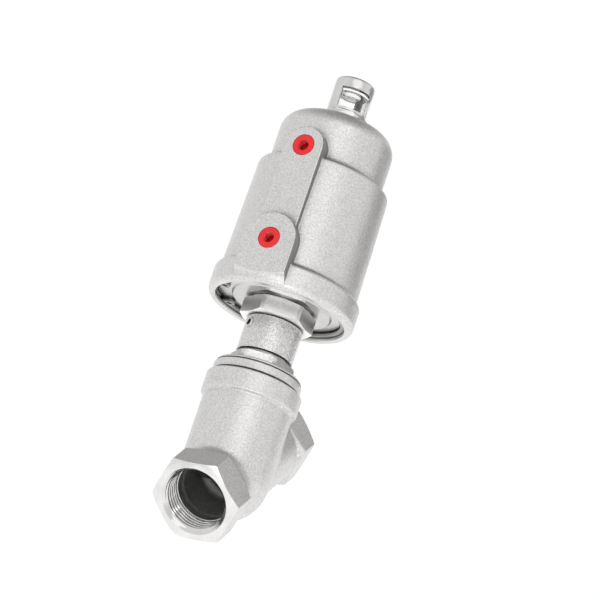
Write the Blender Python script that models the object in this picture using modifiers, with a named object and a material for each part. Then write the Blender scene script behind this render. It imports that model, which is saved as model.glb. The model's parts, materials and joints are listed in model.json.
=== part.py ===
"""Pneumatic angle seat valve: a Y-pattern threaded body with a piston actuator on a neck.

World frame, metres, +Z up: the pipe runs along +X from the inlet face, whose centre is the origin.
The stem leans 45 degrees towards the outlet, in the XZ plane.
Most pieces are built about their own Z axis, which is the stem axis: local -X is the side of the air
ports, and a local height of 0 is where the stem axis crosses the pipe axis.
"""

import math

import bmesh
import bpy
from mathutils import Matrix, Vector

MM = 0.001  # every size below is in millimetres

# Pipe body
INLET_X = 0.0
CROSS_X = 27.0  # where the stem axis crosses the pipe axis
OUTLET_X = 72.0
STEM_LEAN_DEG = 45.0
PIPE_HEX_AF = 33.0
INLET_HEX_W = 14.0
OUTLET_HEX_W = 11.5
PORT_MINOR_R = 12.05  # G3/4 minor radius
PORT_MOUTH_R = 14.1
INLET_THREAD_DEPTH = 10.0
INLET_RELIEF_R = 13.0  # turned relief behind the inlet thread
INLET_RELIEF_W = 4.5
INLET_PASSAGE_R = 11.5
OUTLET_THREAD_DEPTH = 11.5
OUTLET_PASSAGE_R = 9.5
RUN_R = 16.2
BRANCH_R = 18.5
COLLAR_R = 19.8
COLLAR_H = 31.0
BODY_TOP_H = 39.4
CHAMBER_R = 15.0
BONNET_BORE_R = 13.5
CHAMBER_TOP_IN_BODY_H = 22.0
ORIFICE_R = 8.5
SEAT_LAND = 1.2
SEAT_H = 3.0
SEAT_WALL = 2.5

# Bonnet and neck
GASKET_R = 17.0
BONNET_FLANGE_R = 18.3
BONNET_FLANGE_H = 40.3
BONNET_HEX_H = 45.4
BONNET_HEX_AF = 24.0
BONNET_HEX_DEG = -16.0  # a corner of the hexagon, measured from the port side
BONNET_TOP_H = 50.0
BONNET_SPIGOT_H = 24.0
BONNET_SOCKET_R = 9.8
BONNET_SOCKET_H = 45.0
PACKING_R = 6.8
PACKING_FLOOR_H = 28.0
PACKING_PITCH = 2.7
FIRST_PACKING_H = 34.4
GLAND_NOSE_H = 42.9
GLAND_TOP_H = 46.8
NECK_SPIGOT_R = 9.5
NECK_SPIGOT_H = 47.1
NECK_R = 11.65
NECK_BOTTOM_H = 50.4
NECK_SHOULDER_H = 66.1
NECK_THREAD_R = 10.2
NECK_BORE_R = 7.5
NECK_TOP_H = 86.0
NECK_WEB_R = 5.0  # the web that the stem bush rests on
NECK_WEB_H = 73.0
NECK_WEB_TOP_H = 75.0
WEEP_HOLE_R = 1.25
WEEP_HOLE_H = 62.5
WEEP_HOLE_DEG = -35.0
NECK_NUT_AF = 27.0
NECK_NUT_DEG = -4.0
NECK_NUT_TURNED_R = 15.1
NECK_NUT_BOTTOM_H = 66.4
NECK_NUT_TOP_H = 73.4
LOCK_RING_R = 13.6
LOCK_RING_H = 82.4
BUSH_R = 4.2
BUSH_TOP_H = 85.4

# Actuator
FLANGE_BOTTOM_H = 72.3
FLANGE_R = 30.4
FLANGE_TOP_H = 83.0
SLEEVE_BOTTOM_R = 28.3
SLEEVE_TOP_R = 27.3
SHOULDER_H = 129.3
UPPER_R = 23.65
UPPER_BOTTOM_H = 131.5
DOME_FILLET = 8.0
DOME_TOP_H = 155.2
TOP_BOSS_R = 10.3
TOP_BOSS_H = 156.0
RECESS_R = 26.85
BORE_R = 25.0
BORE_BOTTOM_H = 78.2
BORE_TOP_H = 126.0
UPPER_BORE_R = 21.0
CHAMBER_TOP_H = 151.0
SNAP_GROOVE_R = 27.7
SNAP_GROOVE_H = 73.6
SNAP_GROOVE_TOP_H = 75.0
CAST_FILLET = 1.7  # concave corners of the casting
PLATE_PAD_R = 20.1
PLATE_PAD_H = 74.3
PLATE_RIM_H = 75.3
PLATE_TOP_H = 82.1
PLATE_SEAL_R = 22.6
SNAP_RING_H = 73.75
SNAP_RING_TOP_H = 74.85
SNAP_RING_R = 25.0
SNAP_EYE_R = 22.6
SNAP_EYE_DEG = 9.0
SNAP_GAP_DEG = 38.0
SNAP_GAP_MIDDLE_DEG = 104.0
RIB_FACE = 29.0  # from the stem axis to the flat of the rib
RIB_HALF_WIDTH = 8.25
BOSS_FACE = 31.75
BOSS_HALF_WIDTH = 11.1
UPPER_PORT_H = 133.4
LOWER_PORT_H = 90.8
PORT_R = 4.8
PORT_DEPTH = 5.5
PORT_DRILL_R = 2.2
PLUG_R = 4.5
PLUG_HOLE_R = 2.6
PLUG_LENGTH = 4.8
PLUG_FLOOR = 1.0
PLUG_PROUD = 0.2

# Indicator
INDICATOR_HEX_AF = 17.0
INDICATOR_HEX_TURN_DEG = -14.0
INDICATOR_HEX_TOP_H = 160.1
HOOD_R = 8.2
HOOD_BORE_R = 6.6
HOOD_BOTTOM_H = 160.4
HOOD_TOP_H = 175.2
HOOD_CEILING_H = 171.0
INDICATOR_THREAD_R = 5.0
INDICATOR_SPIGOT_R = 6.3
INDICATOR_FOOT_H = 151.3
CUP_WALL = 1.3
WINDOW_BOTTOM_H = 161.5
WINDOW_TOP_H = 170.4
FRONT_WINDOW_DEG = (-12.0, 153.0)  # both windows are measured from the port side
REAR_WINDOW_DEG = (187.0, 250.0)

# Moving stem
STEM_R = 4.0
STEM_FOOT_H = -4.4
STEM_SHOULDER_H = 94.2
STEM_TOP_H = 112.0
DISC_R = 10.8
DISC_H = 5.0
DISC_SHOULDER_H = 9.4
DISC_TOP_H = 14.7
DISC_BORE_R = 2.8
DISC_BORE_H = 10.0
PISTON_R = 24.6
PISTON_HUB_R = 8.0
PISTON_HUB_H = 104.0
PISTON_POCKET_R = 20.9
PISTON_BORE_R = 3.3
PISTON_BOTTOM_H = 93.5
PISTON_TOP_H = 101.5
SPRING_SEAT_H = 98.0
OUTER_SPRING_R = 17.4
OUTER_WIRE_R = 1.6
INNER_SPRING_R = 12.0
INNER_WIRE_R = 1.1
ROD_R = 2.0
ROD_STUB_R = 1.4
ROD_TIP_H = 158.9

GAP = 0.3
SEAL_CLEARANCE = 0.15
BIG_SEGMENTS = 32
MID_SEGMENTS = 20
SMALL_SEGMENTS = 14
OVERCUT = 1.0

STAINLESS_CAST = ((0.72, 0.71, 0.69), 1.0, 0.42)
STAINLESS_TURNED = ((0.78, 0.78, 0.78), 1.0, 0.25)
SPRING_STEEL = ((0.45, 0.46, 0.48), 1.0, 0.35)
BRONZE = ((0.72, 0.50, 0.24), 1.0, 0.35)
PTFE = ((0.92, 0.92, 0.90), 0.0, 0.45)
RUBBER = ((0.03, 0.03, 0.03), 0.0, 0.60)
CLEAR_PLASTIC = ((0.93, 0.96, 0.97), 0.0, 0.08)
RED_PLASTIC = ((0.80, 0.03, 0.04), 0.0, 0.40)


def clear_scene():
    for obj in list(bpy.data.objects):
        bpy.data.objects.remove(obj, do_unlink=True)


def new_collection(name, shown):
    collection = bpy.data.collections.new(name)
    bpy.context.scene.collection.children.link(collection)
    collection.hide_render = not shown
    return collection


clear_scene()
PARTS = new_collection("pneumatic_actuated_valve", True)
CUTTERS = new_collection("cutters", False)

LEAN = Matrix.Rotation(math.radians(STEM_LEAN_DEG), 4, "Y")
STEM_FRAME = Matrix.Translation(Vector((CROSS_X, 0, 0)) * MM) @ LEAN
# Local +Z of this frame runs along the pipe, and a local height is a world X.
PIPE_FRAME = Matrix.Rotation(math.radians(90), 4, "Y")


def around_stem(degrees):
    """Turn about the stem, measured from the port side (local -X) towards world -Y."""
    return Matrix.Rotation(math.radians(degrees), 4, "Z")


def material(name, look):
    colour, metallic, roughness = look
    made = bpy.data.materials.new(name)
    made.use_nodes = True
    shader = made.node_tree.nodes["Principled BSDF"]
    shader.inputs["Base Color"].default_value = (*colour, 1.0)
    shader.inputs["Metallic"].default_value = metallic
    shader.inputs["Roughness"].default_value = roughness
    made.diffuse_color = (*colour, 1.0)
    return made


def add_object(name, data, frame, look):
    obj = bpy.data.objects.new(name, data)
    if look is None:
        CUTTERS.objects.link(obj)
        obj.hide_render = True
        obj.display_type = "WIRE"
    else:
        PARTS.objects.link(obj)
        data.materials.append(material(name + "_material", look))
    obj.matrix_world = frame
    return obj


def smooth(obj, angle_deg=35.0):
    for polygon in obj.data.polygons:
        polygon.use_smooth = True
    obj.data.set_sharp_from_angle(angle=math.radians(angle_deg))


def lathe(name, profile, segments, look=None, frame=STEM_FRAME):
    """A turned piece. The (radius, height) profile runs down the outside and up the inside."""
    mesh = bpy.data.meshes.new(name)
    points = [(radius * MM, 0.0, height * MM) for radius, height in profile]
    edges = [(i, i + 1) for i in range(len(points) - 1)]
    on_axis = profile[0][0] == 0 and profile[-1][0] == 0
    if not on_axis:
        edges.append((len(points) - 1, 0))
    mesh.from_pydata(points, edges, [])
    obj = add_object(name, mesh, frame, look)
    turn = obj.modifiers.new("Turn", "SCREW")
    turn.axis = "Z"
    turn.angle = math.tau
    turn.steps = segments
    turn.render_steps = segments
    turn.use_merge_vertices = True
    turn.merge_threshold = 0.00001
    turn.use_smooth_shade = True
    return obj


def ring(name, inner_r, outer_r, bottom_h, top_h, segments, look=None, edge=0.0):
    """A turned ring with an optional chamfer on its two outer corners."""
    outside = [(outer_r, top_h), (outer_r, bottom_h)]
    if edge:
        outside = [(outer_r - edge, top_h), (outer_r, top_h - edge)]
        outside += [(outer_r, bottom_h + edge), (outer_r - edge, bottom_h)]
    return lathe(name, outside + [(inner_r, bottom_h), (inner_r, top_h)], segments, look)


def rod(name, radius, bottom_h, top_h, segments, frame=STEM_FRAME):
    """A plain round cutter."""
    profile = [(0, top_h), (radius, top_h), (radius, bottom_h), (0, bottom_h)]
    return lathe(name, profile, segments, None, frame)


def prism(name, outline, low, high, look=None, frame=STEM_FRAME):
    """A flat outline of (x, y) points, counterclockwise, raised along local Z from low to high."""
    shape = bmesh.new()
    base = shape.faces.new([shape.verts.new((x * MM, y * MM, low * MM)) for x, y in outline])
    raised = bmesh.ops.extrude_face_region(shape, geom=[base], use_keep_orig=True)
    moved = [part for part in raised["geom"] if isinstance(part, bmesh.types.BMVert)]
    bmesh.ops.translate(shape, verts=moved, vec=(0, 0, (high - low) * MM))
    bmesh.ops.recalc_face_normals(shape, faces=shape.faces)
    mesh = bpy.data.meshes.new(name)
    shape.to_mesh(mesh)
    shape.free()
    return add_object(name, mesh, frame, look)


def hexagon(across_flats, corner_deg=0.0):
    """Corner points of a hexagon. A corner stands at corner_deg from local -X towards -Y."""
    radius = across_flats / math.sqrt(3)
    angles = [math.radians(180 + corner_deg + 60 * k) for k in range(6)]
    return [(radius * math.cos(a), radius * math.sin(a)) for a in angles]


def sector(radius, start_deg, end_deg):
    """A slice of a disc, between two angles measured like the hexagon's corner."""
    steps = 8
    found = [(0, 0)]
    for k in range(steps + 1):
        a = math.radians(180 + start_deg + (end_deg - start_deg) * k / steps)
        found.append((radius * math.cos(a), radius * math.sin(a)))
    return found


def boolean(target, tool, operation):
    step = target.modifiers.new(operation.title() + " " + tool.name, "BOOLEAN")
    step.operation = operation
    step.solver = "EXACT"
    step.object = tool


def cut(target, *tools):
    for tool in tools:
        boolean(target, tool, "DIFFERENCE")


def join(target, *tools):
    for tool in tools:
        boolean(target, tool, "UNION")


def arc(centre_r, centre_h, radius, start_deg, end_deg, steps):
    """Profile points on an arc. 0 degrees points away from the axis and 90 points up."""
    found = []
    for k in range(steps + 1):
        a = math.radians(start_deg + (end_deg - start_deg) * k / steps)
        found.append((centre_r + radius * math.cos(a), centre_h + radius * math.sin(a)))
    return found


def coil(name, mean_r, wire_r, bottom_h, top_h, turns, points_per_turn, look):
    """A closed-end compression spring: a poly curve with a round bevel, turned into a mesh."""
    flat_turns = 1.0
    total = turns + 2 * flat_turns
    count = int(total * points_per_turn) + 1
    low = bottom_h + wire_r
    high = top_h - wire_r
    lead = 2 * wire_r + 0.1
    curve = bpy.data.curves.new(name + "_path", "CURVE")
    curve.dimensions = "3D"
    spline = curve.splines.new("POLY")
    spline.points.add(count - 1)
    for k in range(count):
        turn_now = k / points_per_turn
        if turn_now < flat_turns:
            height = low + lead * turn_now / flat_turns
        elif turn_now > total - flat_turns:
            height = high - lead * (total - turn_now) / flat_turns
        else:
            share = (turn_now - flat_turns) / turns
            height = low + lead + (high - low - 2 * lead) * share
        a = math.tau * turn_now
        point = (mean_r * math.cos(a) * MM, mean_r * math.sin(a) * MM, height * MM, 1.0)
        spline.points[k].co = point
    curve.bevel_depth = wire_r * MM
    curve.bevel_resolution = 1
    curve.use_fill_caps = True
    path = bpy.data.objects.new(name + "_path", curve)
    PARTS.objects.link(path)
    bpy.context.view_layer.update()
    mesh = bpy.data.meshes.new_from_object(path.evaluated_get(bpy.context.evaluated_depsgraph_get()))
    bpy.data.objects.remove(path, do_unlink=True)
    shape = bmesh.new()
    shape.from_mesh(mesh)
    bmesh.ops.remove_doubles(shape, verts=shape.verts, dist=0.00001)
    bmesh.ops.recalc_face_normals(shape, faces=shape.faces)
    shape.to_mesh(mesh)
    shape.free()
    obj = add_object(name, mesh, STEM_FRAME, look)
    smooth(obj, 60)
    return obj


def pipe_hex(name, face_x, back_x):
    """A pipe-end hexagon with its flats level, turned to a chamfer at both ends."""
    low = min(face_x, back_x)
    high = max(face_x, back_x)
    block = prism(name, hexagon(PIPE_HEX_AF, 90.0), low, high, None, PIPE_FRAME)
    corner_r = PIPE_HEX_AF / math.sqrt(3)
    rim_r = PIPE_HEX_AF / 2
    slope = (corner_r - rim_r) * 0.55
    barrel = [(rim_r, high), (corner_r + 0.2, high - slope), (corner_r + 0.2, low + slope), (rim_r, low)]
    barrel = [(0, high)] + barrel + [(0, low)]
    boolean(block, lathe(name + "_turning", barrel, BIG_SEGMENTS, None, PIPE_FRAME), "INTERSECT")
    return block


def port_bore(name, face_x, depth, direction, relief_r, relief_w, passage_r):
    """A threaded pipe port at its minor radius, with a cone at the mouth and a relief at its end."""
    mouth = face_x - direction * OVERCUT
    cone_end = face_x + direction * (PORT_MOUTH_R - PORT_MINOR_R)
    flare = PORT_MOUTH_R + OVERCUT
    inner = face_x + direction * depth
    relief = inner + direction * relief_w
    tail = relief + direction * (relief_r - passage_r)
    path = [(0, mouth), (flare, mouth), (PORT_MINOR_R, cone_end), (PORT_MINOR_R, inner)]
    if relief_w:
        path += [(relief_r, inner), (relief_r, relief)]
    path += [(passage_r, tail), (0, tail)]
    if direction > 0:
        path.reverse()
    return lathe(name, path, BIG_SEGMENTS, None, PIPE_FRAME)


# ---------------------------------------------------------------- pipe body


def make_body():
    bulb = arc(0, 0, BRANCH_R, 0, -90, 8)
    outside = [(0, BODY_TOP_H), (COLLAR_R - 0.6, BODY_TOP_H), (COLLAR_R, BODY_TOP_H - 0.6)]
    outside += [(COLLAR_R, COLLAR_H + 0.6), (BRANCH_R, COLLAR_H - 1.0)]
    body = lathe("valve_body", outside + bulb[:-1] + [(0, -BRANCH_R)], BIG_SEGMENTS, STAINLESS_CAST)
    inlet_back = INLET_X + INLET_HEX_W
    outlet_back = OUTLET_X - OUTLET_HEX_W
    run = rod("run", RUN_R, inlet_back - 2, outlet_back + 2, BIG_SEGMENTS, PIPE_FRAME)
    join(body, run, pipe_hex("inlet_hex", INLET_X, inlet_back), pipe_hex("outlet_hex", OUTLET_X, outlet_back))

    # Chamber above the seat, open at the top for the bonnet.
    # The wide top is the spot face that clears the outlet hexagon from under the bonnet flange.
    spot_r = COLLAR_R + GAP
    spot_top = BODY_TOP_H + 8.0
    chamber = [(0, spot_top), (spot_r, spot_top), (spot_r, BODY_TOP_H), (BONNET_BORE_R, BODY_TOP_H)]
    chamber += [(BONNET_BORE_R, BONNET_SPIGOT_H), (CHAMBER_R, CHAMBER_TOP_IN_BODY_H)]
    chamber += [(CHAMBER_R, SEAT_H - SEAT_LAND), (ORIFICE_R + SEAT_LAND + 1.0, SEAT_H - SEAT_LAND)]
    chamber += [(ORIFICE_R + SEAT_LAND, SEAT_H), (ORIFICE_R, SEAT_H), (ORIFICE_R, -5.0), (0, -5.0)]
    # Everything above this slab is cleared from the inlet pocket, so the seat wall stays whole.
    pocket_start = INLET_THREAD_DEPTH + 1.0
    pocket = rod("inlet_pocket", INLET_PASSAGE_R, pocket_start, CROSS_X + 3, BIG_SEGMENTS, PIPE_FRAME)
    keep = SEAT_H - SEAT_WALL - SEAT_LAND
    side = 40.0
    square = [(-side, -side), (side, -side), (side, side), (-side, side)]
    cut(pocket, prism("seat_wall_keep", square, keep, keep + side))
    outlet_start = CROSS_X + 14.0
    outlet_way = rod("outlet_way", OUTLET_PASSAGE_R, outlet_start, OUTLET_X - 5, BIG_SEGMENTS, PIPE_FRAME)
    cut(body, lathe("seat_chamber", chamber, BIG_SEGMENTS), pocket, outlet_way)
    cut(body, port_bore("inlet_bore", INLET_X, INLET_THREAD_DEPTH, 1, INLET_RELIEF_R, INLET_RELIEF_W,
                        INLET_PASSAGE_R))
    cut(body, port_bore("outlet_bore", OUTLET_X, OUTLET_THREAD_DEPTH, -1, PORT_MINOR_R, 0.0,
                        OUTLET_PASSAGE_R))


def make_gasket():
    ring("body_gasket", BONNET_BORE_R + 0.4, GASKET_R, BODY_TOP_H + 0.1, BONNET_FLANGE_H - 0.1,
         MID_SEGMENTS, PTFE)


# ---------------------------------------------------------------- bonnet, packing and neck


def turned_hex_cut(name, across_flats, low, high, turn_deg, outer_r):
    """A cutter that leaves a hexagon on a turned piece between two heights."""
    reach = outer_r + OVERCUT
    tool = ring(name, 0.5, reach, low, high, MID_SEGMENTS)
    core = prism(name + "_core", hexagon(across_flats, turn_deg), low - OVERCUT, high + OVERCUT)
    cut(tool, core)
    return tool


def make_bonnet():
    corner_r = BONNET_HEX_AF / math.sqrt(3)
    spigot_r = BONNET_BORE_R - GAP
    outside = [(corner_r - 1.6, BONNET_TOP_H), (corner_r - 0.2, BONNET_TOP_H - 0.8)]
    outside += [(corner_r - 0.2, BONNET_HEX_H), (BONNET_FLANGE_R - 1.6, BONNET_HEX_H)]
    outside += [(BONNET_FLANGE_R - 0.5, BONNET_HEX_H - 0.5), (BONNET_FLANGE_R, BONNET_HEX_H - 1.6)]
    outside += [(BONNET_FLANGE_R, BONNET_FLANGE_H), (spigot_r, BONNET_FLANGE_H)]
    outside += [(spigot_r, BONNET_SPIGOT_H + 1.0), (spigot_r - 1.0, BONNET_SPIGOT_H)]
    outside += [(STEM_R + GAP, BONNET_SPIGOT_H), (STEM_R + GAP, PACKING_FLOOR_H)]
    outside += [(PACKING_R, PACKING_FLOOR_H), (PACKING_R, BONNET_SOCKET_H)]
    outside += [(BONNET_SOCKET_R, BONNET_SOCKET_H), (BONNET_SOCKET_R, BONNET_TOP_H)]
    bonnet = lathe("bonnet", outside, BIG_SEGMENTS, STAINLESS_TURNED)
    cut(bonnet, turned_hex_cut("bonnet_hex", BONNET_HEX_AF, BONNET_HEX_H, BONNET_TOP_H + OVERCUT,
                               BONNET_HEX_DEG, corner_r))


def make_packing():
    outer_r = PACKING_R - 0.2
    inner_r = STEM_R + 0.2
    middle_r = (outer_r + inner_r) / 2
    lip = 1.2
    coil("packing_spring", 5.4, 0.55, PACKING_FLOOR_H + 0.1, 32.9, 1.5, 10, SPRING_STEEL)
    ring("packing_washer", inner_r, outer_r, 33.1, 34.2, SMALL_SEGMENTS, STAINLESS_TURNED)
    for k in range(3):
        base = FIRST_PACKING_H + PACKING_PITCH * k
        chevron = [(outer_r, base + lip), (outer_r, base), (middle_r, base + lip), (inner_r, base)]
        chevron += [(inner_r, base + lip), (middle_r, base + 2 * lip)]
        lathe("packing_ring_" + str(k + 1), chevron, SMALL_SEGMENTS, PTFE)
    gland_r = PACKING_R + 1.8
    nose_r = PACKING_R - GAP
    hole_r = STEM_R + GAP
    gland = [(gland_r, GLAND_TOP_H), (gland_r, BONNET_SOCKET_H + GAP), (nose_r, BONNET_SOCKET_H + GAP)]
    gland += [(nose_r, GLAND_NOSE_H), (middle_r, GLAND_NOSE_H + lip), (hole_r, GLAND_NOSE_H)]
    lathe("gland_nut", gland + [(hole_r, GLAND_TOP_H)], SMALL_SEGMENTS, BRONZE)
    ring("stem_wiper", STEM_R + SEAL_CLEARANCE, 6.2, GLAND_TOP_H + GAP, 48.4, SMALL_SEGMENTS, RUBBER)


def make_neck():
    outside = [(NECK_THREAD_R - 0.6, NECK_TOP_H), (NECK_THREAD_R, NECK_TOP_H - 0.6)]
    outside += [(NECK_THREAD_R, NECK_SHOULDER_H), (NECK_R, NECK_SHOULDER_H), (NECK_R, NECK_BOTTOM_H)]
    outside += [(NECK_SPIGOT_R, NECK_BOTTOM_H), (NECK_SPIGOT_R, NECK_SPIGOT_H), (NECK_BORE_R, NECK_SPIGOT_H)]
    outside += [(NECK_BORE_R, NECK_WEB_H), (NECK_WEB_R, NECK_WEB_H), (NECK_WEB_R, NECK_WEB_TOP_H)]
    outside += [(NECK_BORE_R, NECK_WEB_TOP_H), (NECK_BORE_R, NECK_TOP_H)]
    neck = lathe("neck_tube", outside, MID_SEGMENTS, STAINLESS_CAST)
    across = STEM_FRAME @ around_stem(WEEP_HOLE_DEG) @ Matrix.Translation((0, 0, WEEP_HOLE_H * MM))
    across = across @ Matrix.Rotation(math.radians(-90), 4, "Y")
    cut(neck, rod("weep_hole", WEEP_HOLE_R, 5.0, NECK_R + OVERCUT, 16, across))

    bottom = NECK_NUT_BOTTOM_H
    top = NECK_NUT_TOP_H
    nut = prism("neck_nut", hexagon(NECK_NUT_AF, NECK_NUT_DEG), bottom, top, STAINLESS_TURNED)
    edge_r = NECK_NUT_AF / 2
    turned = [(0, top), (edge_r, top), (NECK_NUT_TURNED_R, top - 0.8), (NECK_NUT_TURNED_R, bottom + 0.8)]
    turned += [(edge_r, bottom), (0, bottom)]
    boolean(nut, lathe("neck_nut_turning", turned, BIG_SEGMENTS), "INTERSECT")
    cut(nut, rod("neck_nut_bore", NECK_THREAD_R + GAP, bottom - OVERCUT, top + OVERCUT, MID_SEGMENTS))

    ring("neck_lock_ring", NECK_THREAD_R + GAP, LOCK_RING_R, LOCK_RING_H, BUSH_TOP_H, MID_SEGMENTS,
         STAINLESS_TURNED, 0.6)


def make_stem_guide():
    outer_r = NECK_BORE_R - GAP
    groove_r = BUSH_R + 1.4
    groove_low = 79.0
    groove_high = 81.2
    bush = [(outer_r, BUSH_TOP_H), (outer_r, NECK_WEB_TOP_H + GAP), (BUSH_R, NECK_WEB_TOP_H + GAP)]
    bush += [(BUSH_R, groove_low), (groove_r, groove_low), (groove_r, groove_high), (BUSH_R, groove_high)]
    lathe("stem_bush", bush + [(BUSH_R, BUSH_TOP_H)], SMALL_SEGMENTS, BRONZE)
    ring("stem_oring", STEM_R + SEAL_CLEARANCE, groove_r - 0.2, groove_low + GAP, groove_high - GAP,
         SMALL_SEGMENTS, RUBBER, 0.35)


# ---------------------------------------------------------------- actuator


def face_slab(name, half_width, bottom_h, top_centre_h, face, back):
    """A pad on the port side: straight sides and a half-round top, seen along local X."""
    outline = [(-half_width, bottom_h), (half_width, bottom_h)]
    steps = 14
    for k in range(steps + 1):
        a = math.pi * k / steps
        outline.append((half_width * math.cos(a), top_centre_h + half_width * math.sin(a)))
    # Local X and Y of the prism become stem Y and Z, and its local Z becomes stem X.
    sideways = Matrix(((0, 0, 1, 0), (1, 0, 0, 0), (0, 1, 0, 0), (0, 0, 0, 1)))
    return prism(name, outline, -face, -back, None, STEM_FRAME @ sideways)


def port_tool(name, face, height):
    """Spot-faced air port: a threaded bore at its minor radius, then a drilling into the cylinder."""
    towards = Matrix.Rotation(math.radians(-90), 4, "Y")
    frame = STEM_FRAME @ Matrix.Translation((0, 0, height * MM)) @ towards
    depth = face - PORT_DEPTH
    path = [(0, face + OVERCUT), (PORT_R, face + OVERCUT), (PORT_R, depth), (PORT_DRILL_R, depth - 1.2)]
    path += [(PORT_DRILL_R, 15.0), (0, 15.0)]
    return lathe(name, path, SMALL_SEGMENTS, None, frame)


def make_housing():
    fillet_r = UPPER_R - DOME_FILLET
    top = [(0, TOP_BOSS_H), (TOP_BOSS_R - 0.6, TOP_BOSS_H), (TOP_BOSS_R, DOME_TOP_H)]
    dome = arc(fillet_r, DOME_TOP_H - DOME_FILLET, DOME_FILLET, 90, 0, 5)
    shoulder = arc(UPPER_R + CAST_FILLET, UPPER_BOTTOM_H + CAST_FILLET, CAST_FILLET, 180, 250, 2)
    shoulder += [(SLEEVE_TOP_R - 0.8, UPPER_BOTTOM_H - 1.0), (SLEEVE_TOP_R, SHOULDER_H)]
    flange = arc(SLEEVE_BOTTOM_R + CAST_FILLET, FLANGE_TOP_H + CAST_FILLET, CAST_FILLET, 180, 250, 2)
    flange += [(FLANGE_R, FLANGE_TOP_H - 0.9), (FLANGE_R, FLANGE_BOTTOM_H + 0.9)]
    flange += [(FLANGE_R - 0.9, FLANGE_BOTTOM_H), (0, FLANGE_BOTTOM_H)]
    housing = lathe("actuator_housing", top + dome + shoulder + flange, BIG_SEGMENTS, STAINLESS_CAST)
    rib = face_slab("rib", RIB_HALF_WIDTH, FLANGE_TOP_H - 2, UPPER_PORT_H, RIB_FACE, 15.0)
    boss = face_slab("boss", BOSS_HALF_WIDTH, FLANGE_BOTTOM_H, LOWER_PORT_H, BOSS_FACE, 20.0)
    # The boss runs down to the flange's rim on a turned slope.
    far_r = 40.0
    far_h = LOWER_PORT_H + 20
    foot = [(0, far_h), (far_r, far_h), (far_r, 81.8), (33.6, 77.2), (BOSS_FACE, 75.9)]
    foot += [(30.9, 74.8), (FLANGE_R - 0.1, FLANGE_BOTTOM_H + 0.9), (0, FLANGE_BOTTOM_H + 0.9)]
    boolean(boss, lathe("boss_foot", foot, BIG_SEGMENTS), "INTERSECT")
    join(housing, rib, boss)

    rod_hole_r = INDICATOR_THREAD_R + GAP
    inside = [(0, TOP_BOSS_H + OVERCUT), (rod_hole_r, TOP_BOSS_H + OVERCUT), (rod_hole_r, CHAMBER_TOP_H)]
    inside += [(UPPER_BORE_R - 1.5, CHAMBER_TOP_H), (UPPER_BORE_R, CHAMBER_TOP_H - 1.5)]
    inside += [(UPPER_BORE_R, BORE_TOP_H + 2.5), (BORE_R, BORE_TOP_H), (BORE_R, BORE_BOTTOM_H)]
    inside += [(RECESS_R, BORE_BOTTOM_H), (RECESS_R, SNAP_GROOVE_TOP_H), (SNAP_GROOVE_R, SNAP_GROOVE_TOP_H)]
    inside += [(SNAP_GROOVE_R, SNAP_GROOVE_H), (RECESS_R, SNAP_GROOVE_H)]
    inside += [(RECESS_R, FLANGE_BOTTOM_H - OVERCUT), (0, FLANGE_BOTTOM_H - OVERCUT)]
    cut(housing, lathe("cylinder_space", inside, BIG_SEGMENTS))
    cut(housing, port_tool("upper_port", RIB_FACE, UPPER_PORT_H))
    cut(housing, port_tool("lower_port", BOSS_FACE, LOWER_PORT_H))


def make_base_plate():
    hub_r = LOCK_RING_R + GAP
    rim_r = RECESS_R - GAP
    rim_top = BORE_BOTTOM_H - GAP
    spigot_r = BORE_R - GAP
    bore_r = NECK_THREAD_R + GAP
    seal_low = 78.9
    seal_high = 80.9
    plate = [(hub_r + 0.9, PLATE_TOP_H), (spigot_r - 0.8, PLATE_TOP_H), (spigot_r, PLATE_TOP_H - 0.8)]
    plate += [(spigot_r, seal_high), (PLATE_SEAL_R, seal_high), (PLATE_SEAL_R, seal_low)]
    plate += [(spigot_r, seal_low)]
    plate += [(spigot_r, rim_top), (rim_r, rim_top), (rim_r, PLATE_RIM_H), (PLATE_PAD_R + 0.5, PLATE_RIM_H)]
    plate += [(PLATE_PAD_R, PLATE_PAD_H), (bore_r, PLATE_PAD_H)]
    neck_seal_low = 76.4
    neck_seal_high = 78.6
    groove_r = bore_r + 1.4
    plate += [(bore_r, neck_seal_low), (groove_r, neck_seal_low), (groove_r, neck_seal_high)]
    plate += [(bore_r, neck_seal_high), (bore_r, PLATE_TOP_H)]
    lathe("base_plate", plate, BIG_SEGMENTS, STAINLESS_TURNED)
    ring("base_plate_oring", PLATE_SEAL_R + 0.2, BORE_R - SEAL_CLEARANCE, seal_low + 0.2, seal_high - 0.2,
         BIG_SEGMENTS, RUBBER, 0.4)
    ring("neck_oring", NECK_THREAD_R + 0.2, groove_r - 0.2, neck_seal_low + GAP, neck_seal_high - GAP,
         MID_SEGMENTS, RUBBER, 0.35)


def make_snap_ring():
    """An internal snap ring with a gap between its two eyes."""
    outer_r = SNAP_GROOVE_R - 0.25
    steps = 40
    outline = []
    span = 360.0 - SNAP_GAP_DEG
    start = SNAP_GAP_MIDDLE_DEG + SNAP_GAP_DEG / 2
    for k in range(steps + 1):
        a = math.radians(start + span * k / steps)
        outline.append((outer_r * math.cos(a), outer_r * math.sin(a)))
    for k in range(steps + 1):
        degrees = start + span * (steps - k) / steps
        from_end = min(degrees - start, start + span - degrees)
        radius = SNAP_EYE_R if from_end <= SNAP_EYE_DEG else SNAP_RING_R
        a = math.radians(degrees)
        outline.append((radius * math.cos(a), radius * math.sin(a)))
    prism("snap_ring", outline, SNAP_RING_H, SNAP_RING_TOP_H, SPRING_STEEL)


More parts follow.
